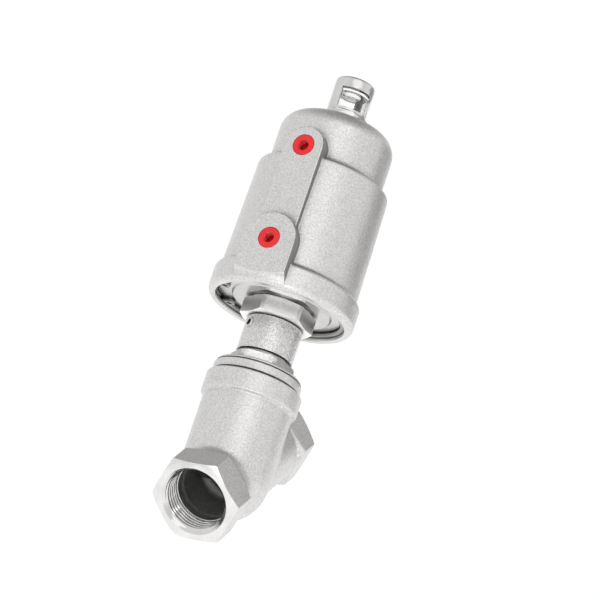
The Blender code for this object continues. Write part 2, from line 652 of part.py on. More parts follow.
def make_indicator():
    hex_r = INDICATOR_HEX_AF / math.sqrt(3)
    base_h = TOP_BOSS_H + 0.1
    rod_clearance_r = ROD_R + 0.4
    groove_r = 3.5
    groove_low = 153.0
    groove_high = 154.8
    spigot_top = WINDOW_BOTTOM_H - GAP
    outside = [(INDICATOR_SPIGOT_R, spigot_top), (INDICATOR_SPIGOT_R, INDICATOR_HEX_TOP_H)]
    outside += [(hex_r - 0.2, INDICATOR_HEX_TOP_H), (hex_r - 0.2, base_h), (INDICATOR_THREAD_R, base_h)]
    outside += [(INDICATOR_THREAD_R, INDICATOR_FOOT_H), (rod_clearance_r, INDICATOR_FOOT_H)]
    outside += [(rod_clearance_r, groove_low), (groove_r, groove_low), (groove_r, groove_high)]
    outside += [(rod_clearance_r, groove_high), (rod_clearance_r, spigot_top)]
    base = lathe("indicator_base", outside, MID_SEGMENTS, STAINLESS_TURNED)
    cut(base, turned_hex_cut("indicator_hex", INDICATOR_HEX_AF, base_h - 0.05, INDICATOR_HEX_TOP_H + 0.05,
                             INDICATOR_HEX_TURN_DEG, hex_r))
    ring("rod_oring", ROD_R + 0.1, groove_r - 0.2, groove_low + 0.2, groove_high - 0.2, 16, RUBBER, 0.3)

    hood = [(0, HOOD_TOP_H), (HOOD_R - 1.0, HOOD_TOP_H), (HOOD_R, HOOD_TOP_H - 1.0), (HOOD_R, HOOD_BOTTOM_H)]
    hood += [(HOOD_BORE_R, HOOD_BOTTOM_H), (HOOD_BORE_R, HOOD_CEILING_H), (0, HOOD_CEILING_H)]
    cover = lathe("indicator_hood", hood, MID_SEGMENTS, STAINLESS_TURNED)
    for name, between in (("front_window", FRONT_WINDOW_DEG), ("rear_window", REAR_WINDOW_DEG)):
        cut(cover, prism(name, sector(HOOD_R + 2 * OVERCUT, *between), WINDOW_BOTTOM_H, WINDOW_TOP_H))
    cup_r = HOOD_BORE_R - GAP
    cup_bore_r = cup_r - CUP_WALL
    cup_top = HOOD_CEILING_H - GAP
    # A blunt boss hangs from the cup's top, over the rod's tip.
    boss_r = 3.2
    boss_h = 168.3
    cup = [(0, cup_top), (cup_r - 1.4, cup_top), (cup_r, cup_top - 1.1), (cup_r, WINDOW_BOTTOM_H)]
    cup += [(cup_bore_r, WINDOW_BOTTOM_H), (cup_bore_r, cup_top - 1.3), (boss_r, cup_top - 1.0)]
    cup += [(boss_r, boss_h + 0.6), (boss_r - 0.6, boss_h), (0, boss_h)]
    lathe("indicator_window", cup, MID_SEGMENTS, CLEAR_PLASTIC)


# ---------------------------------------------------------------- moving stem


def make_stem():
    seat_r = 2.5
    piston_seat_r = 3.0
    stem = [(0, STEM_TOP_H), (piston_seat_r - 0.4, STEM_TOP_H), (piston_seat_r, STEM_TOP_H - 0.6)]
    stem += [(piston_seat_r, STEM_SHOULDER_H), (STEM_R, STEM_SHOULDER_H), (STEM_R, DISC_BORE_H + GAP)]
    stem += [(seat_r, DISC_BORE_H + GAP), (seat_r, STEM_FOOT_H), (0, STEM_FOOT_H)]
    shaft = lathe("stem", stem, SMALL_SEGMENTS, STAINLESS_TURNED)
    cut(shaft, rod("rod_socket", ROD_STUB_R + GAP, 106.0, STEM_TOP_H + OVERCUT, 16))

    stem_hole_r = STEM_R + GAP
    disc = [(STEM_R + 2.6, DISC_TOP_H), (DISC_R, DISC_SHOULDER_H), (DISC_R, DISC_H), (DISC_BORE_R, DISC_H)]
    disc += [(DISC_BORE_R, DISC_BORE_H), (stem_hole_r, DISC_BORE_H), (stem_hole_r, DISC_TOP_H)]
    lathe("disc", disc, MID_SEGMENTS, STAINLESS_TURNED)
    ring("disc_seal", DISC_BORE_R, DISC_R - 0.2, SEAT_H + 0.1, DISC_H - 0.2, MID_SEGMENTS, PTFE)
    ring("disc_retainer", DISC_BORE_R, 7.6, 1.0, SEAT_H - 0.1, MID_SEGMENTS, STAINLESS_TURNED, 0.6)
    hex_nut("disc_nut", 8.0, 2.7, -3.4, 0.8)


def hex_nut(name, across_flats, bore_r, bottom, top):
    nut = prism(name, hexagon(across_flats), bottom, top, STAINLESS_TURNED)
    cut(nut, rod(name + "_bore", bore_r, bottom - OVERCUT, top + OVERCUT, 16))
    return nut


def make_piston():
    guide_groove_r = 23.5
    guide_low = 98.9
    guide_high = 100.9
    seal_groove_r = 22.3
    seal_low = 95.1
    seal_high = 97.9
    edge = 0.5
    piston = [(PISTON_R - edge, PISTON_TOP_H), (PISTON_R, PISTON_TOP_H - edge), (PISTON_R, guide_high)]
    piston += [(guide_groove_r, guide_high), (guide_groove_r, guide_low), (PISTON_R, guide_low)]
    piston += [(PISTON_R, seal_high), (seal_groove_r, seal_high), (seal_groove_r, seal_low)]
    piston += [(PISTON_R, seal_low), (PISTON_R, PISTON_BOTTOM_H + edge), (PISTON_R - edge, PISTON_BOTTOM_H)]
    piston += [(PISTON_BORE_R, STEM_SHOULDER_H + GAP), (PISTON_BORE_R, PISTON_HUB_H)]
    piston += [(PISTON_HUB_R, PISTON_HUB_H), (PISTON_HUB_R, SPRING_SEAT_H)]
    piston += [(PISTON_POCKET_R, SPRING_SEAT_H), (PISTON_POCKET_R, PISTON_TOP_H)]
    lathe("piston", piston, BIG_SEGMENTS, STAINLESS_TURNED)
    seal_r = BORE_R - SEAL_CLEARANCE
    ring("piston_seal", seal_groove_r + 0.2, seal_r, seal_low + 0.2, seal_high - 0.2,
         BIG_SEGMENTS, RUBBER, 0.4)
    ring("piston_guide_ring", guide_groove_r + 0.2, seal_r, guide_low + 0.2, guide_high - 0.2,
         BIG_SEGMENTS, PTFE)
    ring("piston_washer", PISTON_BORE_R, 7.6, PISTON_HUB_H + 0.2, 105.6, SMALL_SEGMENTS, STAINLESS_TURNED)
    hex_nut("piston_nut", 13.0, PISTON_BORE_R, 105.8, 110.6)


def make_indicator_rod():
    stub_h = 106.4
    rod_h = STEM_TOP_H + GAP
    profile = [(0, ROD_TIP_H), (ROD_R - 0.6, ROD_TIP_H), (ROD_R, ROD_TIP_H - 0.6), (ROD_R, rod_h)]
    profile += [(ROD_STUB_R, rod_h), (ROD_STUB_R, stub_h), (0, stub_h)]
    lathe("indicator_rod", profile, 16, STAINLESS_TURNED)


def make_springs():
    low = SPRING_SEAT_H + 0.2
    high = CHAMBER_TOP_H - 0.2
    coil("outer_spring", OUTER_SPRING_R, OUTER_WIRE_R, low, high, 3.5, 12, SPRING_STEEL)
    coil("inner_spring", INNER_SPRING_R, INNER_WIRE_R, low, high, 4.5, 10, SPRING_STEEL)


# ---------------------------------------------------------------- air port plugs


def make_plug(name, face, height):
    towards = Matrix.Rotation(math.radians(-90), 4, "Y")
    frame = STEM_FRAME @ Matrix.Translation((0, 0, height * MM)) @ towards
    rim = face + PLUG_PROUD
    end = rim - PLUG_LENGTH
    floor = end + PLUG_FLOOR
    path = [(0, floor), (PLUG_HOLE_R, floor), (PLUG_HOLE_R, face), (PLUG_HOLE_R + 0.2, rim)]
    path += [(PLUG_R - 0.3, rim), (PLUG_R, face - 0.1), (PLUG_R, end), (0, end)]
    lathe(name, path, SMALL_SEGMENTS, RED_PLASTIC, frame)


make_body()
make_gasket()
make_bonnet()
make_packing()
make_neck()
make_stem_guide()
make_housing()
make_base_plate()
make_snap_ring()
make_indicator()
make_stem()
make_piston()
make_indicator_rod()
make_springs()
make_plug("upper_port_plug", RIB_FACE, UPPER_PORT_H)
make_plug("lower_port_plug", BOSS_FACE, LOWER_PORT_H)
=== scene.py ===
"""Looks for the pneumatic angle seat valve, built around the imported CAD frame."""

import json
import math

import bpy
from mathutils import Matrix, Vector


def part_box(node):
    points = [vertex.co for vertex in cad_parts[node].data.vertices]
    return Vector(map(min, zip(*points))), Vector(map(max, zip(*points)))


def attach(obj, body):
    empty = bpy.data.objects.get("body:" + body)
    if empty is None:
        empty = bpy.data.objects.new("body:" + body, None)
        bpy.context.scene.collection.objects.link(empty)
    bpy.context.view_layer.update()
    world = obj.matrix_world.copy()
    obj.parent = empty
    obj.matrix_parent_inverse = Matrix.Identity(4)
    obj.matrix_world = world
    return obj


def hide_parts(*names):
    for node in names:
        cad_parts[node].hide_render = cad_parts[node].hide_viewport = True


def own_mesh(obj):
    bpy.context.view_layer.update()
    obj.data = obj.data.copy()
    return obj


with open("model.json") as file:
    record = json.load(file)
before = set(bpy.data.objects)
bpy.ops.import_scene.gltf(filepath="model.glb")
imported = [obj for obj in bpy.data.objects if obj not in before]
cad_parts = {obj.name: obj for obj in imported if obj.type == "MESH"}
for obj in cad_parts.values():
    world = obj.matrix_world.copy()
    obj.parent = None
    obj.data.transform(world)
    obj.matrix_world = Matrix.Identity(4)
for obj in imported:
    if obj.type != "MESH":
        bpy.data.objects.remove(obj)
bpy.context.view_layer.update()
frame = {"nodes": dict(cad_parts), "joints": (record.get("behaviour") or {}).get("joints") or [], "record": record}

MM = 0.001  # sizes below are in millimetres, as in the CAD
JOINTS = {joint["name"]: joint for joint in frame["joints"]}
CROSS = Vector(JOINTS["actuator_turn"]["pos_m"])
STEM = Vector(JOINTS["actuator_turn"]["axis"]).normalized()
SIDE = Vector((0, 1, 0)).cross(STEM)
STEM_FRAME = Matrix.Translation(CROSS) @ Matrix((SIDE, (0, 1, 0), STEM)).transposed().to_4x4()
TO_STEM = STEM_FRAME.inverted()
PIPE_FRAME = Matrix.Rotation(math.radians(90), 4, "Y")
CROSS_X = CROSS.x / MM
OUTLET_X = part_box("valve_body")[1].x / MM

FINE = 128
TURNED = 96


# ------------------------------------------------------------------ mesh tools


def new_object(name, verts, faces, place, materials=()):
    mesh = bpy.data.meshes.new(name)
    mesh.from_pydata([place @ Vector((x * MM, y * MM, z * MM)) for x, y, z in verts], [], faces)
    obj = bpy.data.objects.new(name, mesh)
    bpy.context.scene.collection.objects.link(obj)
    for one in materials:
        mesh.materials.append(one)
    return obj


def soften(points, steps=4):
    """A profile with its corners rounded: (r, h) stays sharp, (r, h, radius) is rounded."""
    out = []
    count = len(points)
    for i, point in enumerate(points):
        if len(point) == 2:
            out.append(point)
            continue
        here = Vector(point[:2])
        before = Vector(points[i - 1][:2]) - here
        after = Vector(points[(i + 1) % count][:2]) - here
        angle = before.angle(after)
        reach = min(point[2] / math.tan(angle / 2), before.length * 0.49, after.length * 0.49)
        start = here + before.normalized() * reach
        end = here + after.normalized() * reach
        for k in range(steps + 1):
            t = k / steps
            spot = start * (1 - t) ** 2 + here * 2 * t * (1 - t) + end * t * t
            out.append((spot.x, spot.y))
    return out


def revolve(name, profile, segments, place=STEM_FRAME, materials=(), wave=None):
    """A turned body. The profile runs down the outside and up the inside.

    wave(radius, height, turn) may move a radius, for a screw thread.
    """
    on_axis = profile[0][0] == 0 and profile[-1][0] == 0
    verts = []
    rings = []
    for r, h in profile:
        if r == 0:
            rings.append([len(verts)] * segments)
            verts.append((0.0, 0.0, h))
            continue
        ring = []
        for k in range(segments):
            a = math.tau * k / segments
            radius = wave(r, h, k / segments) if wave else r
            ring.append(len(verts))
            verts.append((radius * math.cos(a), radius * math.sin(a), h))
        rings.append(ring)
    faces = []
    last = len(rings) - 1 if on_axis else len(rings)
    for i in range(last):
        upper = rings[i]
        lower = rings[(i + 1) % len(rings)]
        for k in range(segments):
            j = (k + 1) % segments
            face = [upper[k], lower[k], lower[j], upper[j]]
            seen = [v for n, v in enumerate(face) if v not in face[:n]]
            if len(seen) > 2:
                faces.append(seen)
    return new_object(name, verts, faces, place, materials)


def prism(name, outline, low, high, place=STEM_FRAME, materials=()):
    count = len(outline)
    verts = [(x, y, low) for x, y in outline] + [(x, y, high) for x, y in outline]
    faces = [list(range(count))[::-1], list(range(count, 2 * count))]
    faces += [[i, (i + 1) % count, count + (i + 1) % count, count + i] for i in range(count)]
    return new_object(name, verts, faces, place, materials)


def hexagon(across_flats, corner_deg=0.0):
    radius = across_flats / math.sqrt(3)
    angles = [math.radians(180 + corner_deg + 60 * k) for k in range(6)]
    return [(radius * math.cos(a), radius * math.sin(a)) for a in angles]


def bake(obj):
    """Turns the object's modifiers into mesh."""
    graph = bpy.context.evaluated_depsgraph_get()
    mesh = bpy.data.meshes.new_from_object(obj.evaluated_get(graph))
    old = obj.data
    obj.modifiers.clear()
    obj.data = mesh
    bpy.data.meshes.remove(old)
    mesh.name = obj.name
    return obj


def combine(target, tool, operation):
    """One exact Boolean, baked. The tool's material goes onto the faces that it makes."""
    step = target.modifiers.new("step", "BOOLEAN")
    step.operation = operation
    step.solver = "EXACT"
    step.material_mode = "TRANSFER"
    step.object = tool
    bpy.context.view_layer.update()
    bake(target)
    bpy.data.objects.remove(tool, do_unlink=True)
    return target


def cut(target, *tools):
    for tool in tools:
        combine(target, tool, "DIFFERENCE")
    return target


def join(target, *tools):
    for tool in tools:
        combine(target, tool, "UNION")
    return target


def cast(obj, voxel_mm, passes):
    """Rounds every edge and inner corner, as on an investment casting."""
    remesh = obj.modifiers.new("cast", "REMESH")
    remesh.mode = "VOXEL"
    remesh.voxel_size = voxel_mm * MM
    relax = obj.modifiers.new("relax", "SMOOTH")
    relax.factor = 0.5
    relax.iterations = passes
    return bake(obj)


def bevel(obj, width_mm, segments=3, angle_deg=30.0):
    step = obj.modifiers.new("bevel", "BEVEL")
    step.width = width_mm * MM
    step.segments = segments
    step.limit_method = "ANGLE"
    step.angle_limit = math.radians(angle_deg)
    step.harden_normals = False
    return bake(obj)


def smooth(obj, angle_deg=32.0):
    obj.data.polygons.foreach_set("use_smooth", [True] * len(obj.data.polygons))
    obj.data.set_sharp_from_angle(angle=math.radians(angle_deg))
    return obj


def install(obj, body, slot, *nodes, angle_deg=32.0):
    """The finished piece rides on its body and stands for its CAD nodes."""
    smooth(obj, angle_deg)
    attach(obj, body)
    if nodes:
        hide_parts(*nodes)
    return obj


# ------------------------------------------------------------------ materials


class Nodes:
    """A short way to write a material's node tree."""

    def __init__(self, name):
        self.material = bpy.data.materials.new(name)
        self.material.use_nodes = True
        self.tree = self.material.node_tree
        self.shader = self.tree.nodes["Principled BSDF"]
        self.object_space = self.add("ShaderNodeTexCoord").outputs["Object"]
        self.stem_space = self.turned_space(CROSS, 45.0)

    def add(self, kind, **settings):
        node = self.tree.nodes.new(kind)
        for key, value in settings.items():
            setattr(node, key, value)
        return node

    def link(self, source, target):
        self.tree.links.new(source, target)

    def turned_space(self, origin, tilt_deg):
        """Coordinates whose Z axis is the axis of a turned part."""
        node = self.add("ShaderNodeMapping")
        node.vector_type = "TEXTURE"
        node.inputs["Location"].default_value = origin
        node.inputs["Rotation"].default_value = (0, math.radians(tilt_deg), 0)
        self.link(self.object_space, node.inputs["Vector"])
        return node.outputs["Vector"]

    def noise(self, scale, detail=3.0, roughness=0.55, stretch=None, source=None):
        node = self.add("ShaderNodeTexNoise")
        node.inputs["Scale"].default_value = scale
        node.inputs["Detail"].default_value = detail
        node.inputs["Roughness"].default_value = roughness
        where = source or self.object_space
        if stretch:
            mapping = self.add("ShaderNodeMapping")
            mapping.inputs["Scale"].default_value = stretch
            self.link(where, mapping.inputs["Vector"])
            where = mapping.outputs["Vector"]
        self.link(where, node.inputs["Vector"])
        return node.outputs["Fac"]

    def mix_number(self, factor, low, high, from_low=0.3, from_high=0.7):
        node = self.add("ShaderNodeMapRange")
        node.inputs["From Min"].default_value = from_low
        node.inputs["From Max"].default_value = from_high
        node.inputs["To Min"].default_value = low
        node.inputs["To Max"].default_value = high
        self.link(factor, node.inputs["Value"])
        return node.outputs["Result"]

    def mix_colour(self, factor, low, high, from_low=0.3, from_high=0.7):
        node = self.add("ShaderNodeValToRGB")
        node.color_ramp.elements[0].position = from_low
        node.color_ramp.elements[1].position = from_high
        node.color_ramp.elements[0].color = (*low, 1)
        node.color_ramp.elements[1].color = (*high, 1)
        self.link(factor, node.inputs["Fac"])
        return node.outputs["Color"]

    def bump(self, height, strength, distance_mm, normal=None):
        node = self.add("ShaderNodeBump")
        node.inputs["Strength"].default_value = strength
        node.inputs["Distance"].default_value = distance_mm * MM
        self.link(height, node.inputs["Height"])
        if normal:
            self.link(normal, node.inputs["Normal"])
        return node.outputs["Normal"]

    def turning_lines(self, scale, space=None):
        """Fine noise that changes only with radius and height: the marks of a lathe tool."""
        split = self.add("ShaderNodeSeparateXYZ")
        self.link(space or self.stem_space, split.inputs["Vector"])
        flat = self.add("ShaderNodeCombineXYZ")
        self.link(split.outputs["X"], flat.inputs["X"])
        self.link(split.outputs["Y"], flat.inputs["Y"])
        length = self.add("ShaderNodeVectorMath", operation="LENGTH")
        self.link(flat.outputs["Vector"], length.inputs[0])
        pair = self.add("ShaderNodeCombineXYZ")
        self.link(length.outputs["Value"], pair.inputs["X"])
        self.link(split.outputs["Z"], pair.inputs["Y"])
        return self.noise(scale, 4.0, 0.6, source=pair.outputs["Vector"])

    def painted_corner_shade(self, reach_mm, darkest, closed=0.42, open_at=0.82):
        """A factor of painted shade, from ambient occlusion, that falls towards darkest where surfaces meet in a
        corner.
        """
        node = self.add("ShaderNodeAmbientOcclusion", samples=8)
        node.inputs["Distance"].default_value = reach_mm * MM
        return self.mix_number(node.outputs["AO"], darkest, 1.0, closed, open_at)

    def edges(self, brightest):
        """A factor of painted highlight that rises on outer edges, from the mesh's pointiness, to be multiplied
        into the colour.
        """
        node = self.add("ShaderNodeNewGeometry")
        return self.mix_number(node.outputs["Pointiness"], 1.0, brightest, 0.53, 0.60)

    def scaled(self, colour, factor):
        node = self.add("ShaderNodeVectorMath", operation="SCALE")
        self.link(colour, node.inputs[0])
        self.link(factor, node.inputs["Scale"])
        return node.outputs["Vector"]

    def summed(self, *parts):
        total = None
        for value, weight in parts:
            node = self.add("ShaderNodeMath", operation="MULTIPLY_ADD")
            self.link(value, node.inputs[0])
            node.inputs[1].default_value = weight
            if total:
                self.link(total, node.inputs[2])
            else:
                node.inputs[2].default_value = 0.0
            total = node.outputs["Value"]
        return total

    def set(self, **values):
        for key, value in values.items():
            socket = self.shader.inputs[key.replace("_", " ")]
            if isinstance(value, bpy.types.NodeSocket):
                self.link(value, socket)
            else:
                socket.default_value = value
        return self.material


STEEL = (0.70, 0.695, 0.69)


def cast_steel(name, tone=1.0, grain=1.0, roughness=0.40, corner_shade=0.88, speck=0.11, edge_highlight=1.28):
    """Blasted casting: a pebbled skin and cloudy tone, with painted shade in the creases and a painted highlight
    on the outer edges.
    """
    n = Nodes(name)
    broad = n.noise(90.0, 3.0)
    skin = n.noise(1700.0, 3.0, 0.6)
    pebble = n.noise(800.0, 2.0, 0.5)
    waves = n.noise(150.0, 2.0)
    dark = tuple((c - speck) * tone for c in STEEL)
    light = tuple((c + speck) * tone for c in STEEL)
    colour = n.mix_colour(skin, dark, light, 0.36, 0.64)
    # Painted shade in the corners and a painted highlight on the outer edges, both multiplied into the colour.
    shade = n.painted_corner_shade(4.5, 1.0 - corner_shade, 0.52, 0.90)
    edge_highlight_factor = n.edges(edge_highlight)
    colour = n.scaled(n.scaled(colour, shade), edge_highlight_factor)
    rough = n.mix_number(broad, roughness * 0.9, roughness * 1.15)
    height = n.summed((skin, 0.5), (pebble, 0.8), (waves, 1.0))
    normal = n.bump(height, 1.0, 0.16 * grain)
    return n.set(Base_Color=colour, Metallic=1.0, Roughness=rough, Normal=normal)


def turned_steel(name, tone=1.0, roughness=0.26, lines=0.25, corner_shade=0.35, space="stem"):
    """A lathe-turned face: fine rings about the axis, a faint cloud, and painted shade in the corners."""
    n = Nodes(name)
    axis = n.stem_space if space == "stem" else n.turned_space((0, 0, 0), 90.0)
    marks = n.turning_lines(2600.0, axis)
    cloud = n.noise(140.0, 2.0)
    colour = n.mix_colour(cloud, tuple(c * tone for c in (0.66, 0.657, 0.65)),
                          tuple(c * tone for c in (0.76, 0.757, 0.75)))
    colour = n.scaled(colour, n.painted_corner_shade(2.0, 1.0 - corner_shade))
    rough = n.mix_number(marks, roughness * 0.8, roughness * 1.3)
    normal = n.bump(marks, lines, 0.02)
    return n.set(Base_Color=colour, Metallic=1.0, Roughness=rough, Normal=normal)


def milled_steel(name, tone=1.1, roughness=0.36):
    """A sawn or milled flat: short strokes along the axis over a fine speckle, with painted shade in the corners
    and a painted highlight on the outer edges.
    """
    n = Nodes(name)
    strokes = n.noise(1200.0, 3.0, 0.6, stretch=(1.0, 1.0, 0.4), source=n.stem_space)
    speckle = n.noise(1600.0, 3.0)
    colour = n.mix_colour(speckle, tuple(c * tone for c in (0.58, 0.575, 0.57)),
                          tuple(c * tone for c in (0.76, 0.755, 0.75)))
    colour = n.scaled(n.scaled(colour, n.painted_corner_shade(1.5, 0.7)), n.edges(1.2))
    rough = n.mix_number(strokes, roughness * 0.8, roughness * 1.25)
    normal = n.bump(strokes, 0.10, 0.02, n.bump(speckle, 0.15, 0.04))
    return n.set(Base_Color=colour, Metallic=1.0, Roughness=rough, Normal=normal)


def moulded_plastic(name, dark, light, roughness, corner_shade=0.8):
    n = Nodes(name)
    orange_peel = n.noise(1800.0, 2.0)
    cloud = n.noise(220.0, 3.0)
    # The colour takes painted shade in the corners.
    colour = n.scaled(n.mix_colour(cloud, dark, light), n.painted_corner_shade(2.0, corner_shade))
    rough = n.mix_number(orange_peel, roughness * 0.8, roughness * 1.2)
    normal = n.bump(orange_peel, 0.12, 0.03)
    return n.set(Base_Color=colour, Roughness=rough, Normal=normal)


def clear_plastic(name):
    n = Nodes(name)
    streaks = n.noise(260.0, 2.0, stretch=(1.0, 1.0, 0.2))
    haze = n.noise(900.0, 3.0)
    rough = n.mix_number(haze, 0.02, 0.07)
    normal = n.bump(streaks, 0.06, 0.05)
    colour = n.mix_colour(haze, (0.975, 0.98, 0.98), (1.0, 1.0, 1.0))
    return n.set(Base_Color=colour, Roughness=rough, Normal=normal, Transmission_Weight=1.0,
                 IOR=1.5)


def rubber(name):
    n = Nodes(name)
    bloom = n.noise(500.0, 4.0)
    grain = n.noise(3500.0, 2.0)
    colour = n.mix_colour(bloom, (0.012, 0.012, 0.013), (0.035, 0.034, 0.033))
    rough = n.mix_number(bloom, 0.5, 0.7)
    return n.set(Base_Color=colour, Roughness=rough, Normal=n.bump(grain, 0.2, 0.03))


def bronze(name):
    n = Nodes(name)
    colour = n.mix_colour(n.noise(300.0), (0.55, 0.34, 0.14), (0.72, 0.48, 0.22))
    marks = n.bump(n.turning_lines(2400.0), 0.2, 0.02)
    return n.set(Base_Color=colour, Metallic=1.0, Roughness=0.33, Normal=marks)


CAST = cast_steel("cast_stainless")
# Painted shade: the inside of the body is a darker copy of the casting, standing in for the shade in the cavities.
CAST_INSIDE_SHADED = cast_steel("cast_inside_shaded", 0.46, grain=1.4, roughness=0.6, corner_shade=0.3, edge_highlight=1.0)
# Painted shade: a darker copy of the casting for the narrow steps and side walls of the housing.
CAST_SHADED = cast_steel("cast_painted_shade", 0.48, roughness=0.45, corner_shade=0.5)
NECK_STEEL = cast_steel("neck_stainless", 0.98, grain=1.8, roughness=0.26, corner_shade=0.5, speck=0.13)
TURNED_STEEL = turned_steel("turned_stainless")
FACED_STEEL = turned_steel("faced_stainless", 1.1, roughness=0.24, lines=0.3, corner_shade=0.2, space="pipe")
THREAD_STEEL = turned_steel("thread_stainless", roughness=0.12, lines=0.1, corner_shade=0.85, space="pipe")
# Painted light: the bonnet hexagon and the nut take lighter copies of their steel, and every second flat takes the
# darker copy below, so the flats read as lit and shaded.
HEX_STEEL = cast_steel("bonnet_hexagon", 1.12, grain=2.0, corner_shade=0.15, speck=0.14)
NUT_STEEL = milled_steel("milled_stainless", 1.24, 0.38)
SHADED_FACET_STEEL = milled_steel("shaded_facet_stainless", 0.66, 0.36)
PLATE_STEEL = turned_steel("plate_stainless", 0.88, roughness=0.24, lines=0.3)
POLISHED = turned_steel("polished_stainless", 0.95, roughness=0.22, lines=0.3, corner_shade=0.2)
SPRING = turned_steel("drawn_spring_steel", 0.5, roughness=0.32, lines=0.3)
BRONZE = bronze("bearing_bronze")
PTFE = moulded_plastic("white_ptfe", (0.82, 0.82, 0.80), (0.92, 0.92, 0.90), 0.42)
RUBBER = rubber("black_rubber")
RED = moulded_plastic("red_polyethylene", (0.76, 0.008, 0.014), (0.86, 0.014, 0.022), 0.22, 0.6)
CLEAR = clear_plastic("clear_polycarbonate")
BY_SLOT = {
    "cast_stainless": CAST,
    "turned_stainless": TURNED_STEEL,
    "spring_steel": SPRING,
    "bronze": BRONZE,
    "ptfe": PTFE,
    "rubber": RUBBER,
    "clear_plastic": CLEAR,
    "red_plastic": RED,
}


# ------------------------------------------------------------------ pipe body

PIPE_AF = 33.0
PORT_PITCH = 1.814
PORT_MINOR = 12.3
PORT_MAJOR = 13.22
PORT_MOUTH = 14.1
PORT_LEAD_IN = 0.8
MOUTH_SLOPE = 1.0
PASSAGE = 9.5
BRANCH_R = 18.5
COLLAR_R = 19.8
BODY_TOP = 39.4
SEAT_H = 3.0


def thread_wave(pitch, depth, start, end):
    """Moves a radius in and out along a screw line between two heights."""

    def move(radius, height, turn):
        if not start < height < end:
            return radius
        phase = (height / pitch - turn) % 1.0
        tooth = min(1.0, max(0.0, (0.5 - abs(phase - 0.5)) * 2.6 - 0.35))
        fade = min(1.0, (height - start) / pitch, (end - height) / pitch)
        return radius + depth * tooth * fade

    return move


def steps_between(low, high, step):
    count = max(2, int(round((high - low) / step)))
    return [low + (high - low) * k / count for k in range(count + 1)]


def port_bore(name, face_x, depth, direction, relief_r, relief_w, passage):
    """The threaded pipe port: a cone at the mouth, a real screw thread, a relief and the way in."""
    inner = face_x + direction * depth
    relief = inner + direction * relief_w
    tail = relief + direction * (relief_r - passage)
    mouth = face_x - direction * 1.0
    path = [(0, mouth), (PORT_MOUTH + MOUTH_SLOPE, mouth)]
    low, high = sorted((face_x + direction * 0.15, inner))
    heights = steps_between(low, high, PORT_PITCH / 12)
    if direction < 0:
        heights.reverse()
    path += [(max(PORT_MINOR, PORT_MOUTH - abs(h - face_x) * MOUTH_SLOPE), h) for h in heights]
    if relief_w:
        path += [(relief_r, inner + direction * 0.1), (relief_r, relief)]
    path += [(passage, tail), (0, tail + direction * 0.5)]
    if direction > 0:
        path.reverse()
    wave = thread_wave(PORT_PITCH, PORT_MAJOR - PORT_MINOR, low + PORT_LEAD_IN, high + 0.05)
    return revolve(name, path, FINE, PIPE_FRAME, [THREAD_STEEL],
                   lambda r, h, t: wave(r, h, t) if r >= PORT_MINOR else r)


def hex_block(name, face_x, back_x):
    """A pipe-end hexagon, turned to a chamfer at its back."""
    low, high = sorted((face_x, back_x))
    block = prism(name, hexagon(PIPE_AF, 90.0), low, high, PIPE_FRAME, [CAST])
    inwards = 1 if back_x > face_x else -1
    corner = PIPE_AF / math.sqrt(3) + 0.3
    rim = PIPE_AF / 2 - 0.2
    slope = (corner - rim) * 0.6
    past = 0.5
    outside = [(0, back_x + inwards * past), (rim - past / 0.6, back_x + inwards * past),
               (corner, back_x - inwards * slope), (corner, face_x - inwards), (0, face_x - inwards)]
    if inwards < 0:
        outside.reverse()
    return combine(block, revolve(name + "_barrel", outside, FINE, PIPE_FRAME, [CAST]), "INTERSECT")


def end_turning(name, face_x, direction):
    """Takes the sharp corners off a hexagon's end face."""
    rim = PIPE_AF / 2
    corner = PIPE_AF / math.sqrt(3) + 0.3
    tip = face_x + direction * (corner - rim) * 0.55
    out = face_x - direction * 1.0
    path = [(26, out), (26, tip), (corner, tip), (rim, face_x), (rim - 1.5, out)]
    if direction > 0:
        path.reverse()
    return revolve(name, path, FINE, PIPE_FRAME, [FACED_STEEL])


